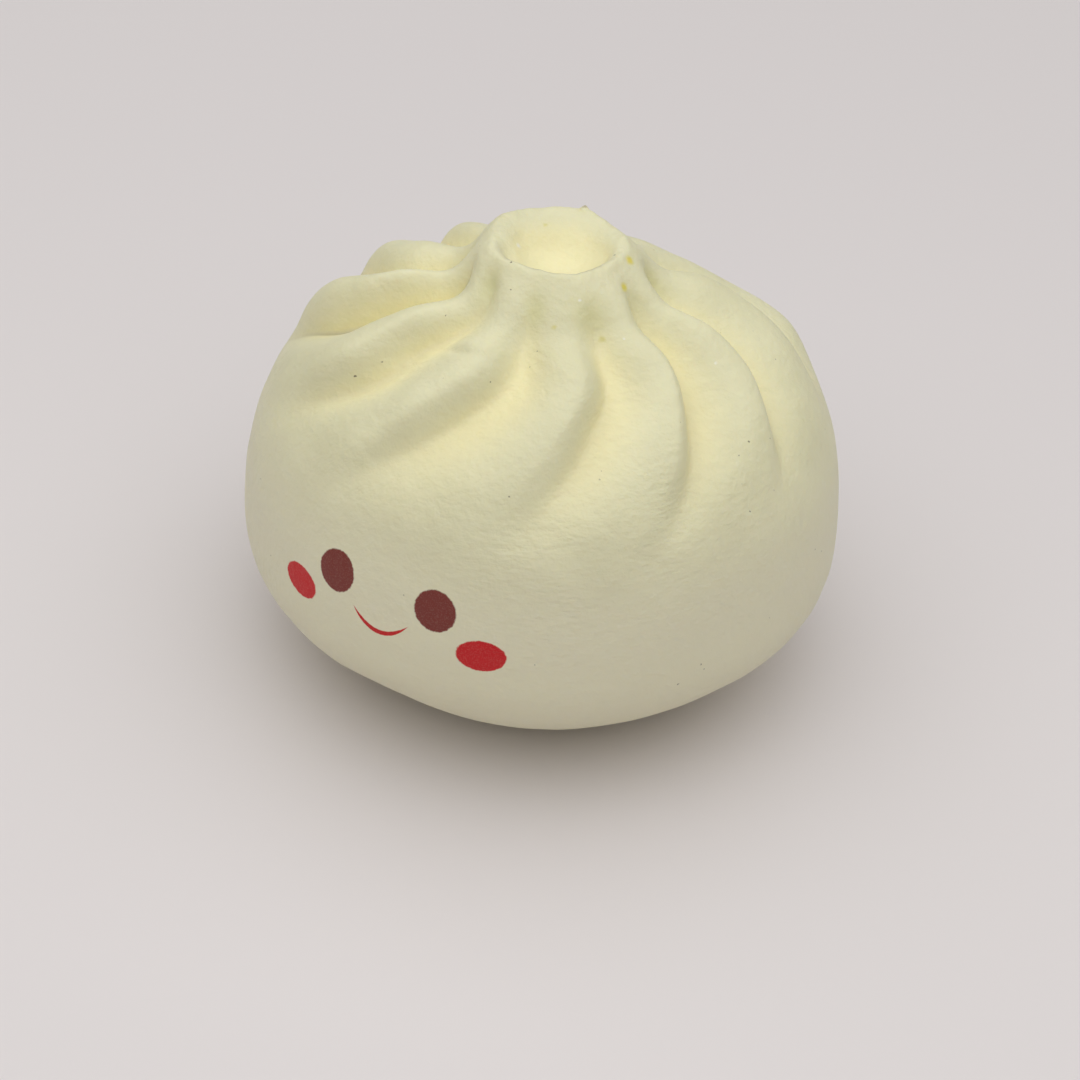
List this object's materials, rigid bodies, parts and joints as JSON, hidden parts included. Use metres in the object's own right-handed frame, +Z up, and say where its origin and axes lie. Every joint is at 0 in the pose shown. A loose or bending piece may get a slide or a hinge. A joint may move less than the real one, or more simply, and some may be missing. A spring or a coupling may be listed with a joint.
{
  "type": "foam toy steamed bun",
  "caption": "Small soft foam toy in the form of a steamed bun: a round body with swirling pleats that gather into a short collar round a shallow bowl.",
  "frame": {"origin": "middle of the flat foot that the bun stands on", "axes": "+Z up through the collar, -Y towards the front with the printed face, +X to the right of the front"},
  "size_m": [0.07, 0.0699, 0.0523],
  "materials": {
    "foam": "matt skin of slow-rising polyurethane foam, pale cream, a little yellower in the valleys, with a small printed face"
  },
  "bodies": {
    "root": {"bun": "foam"}
  },
  "joints": []
}
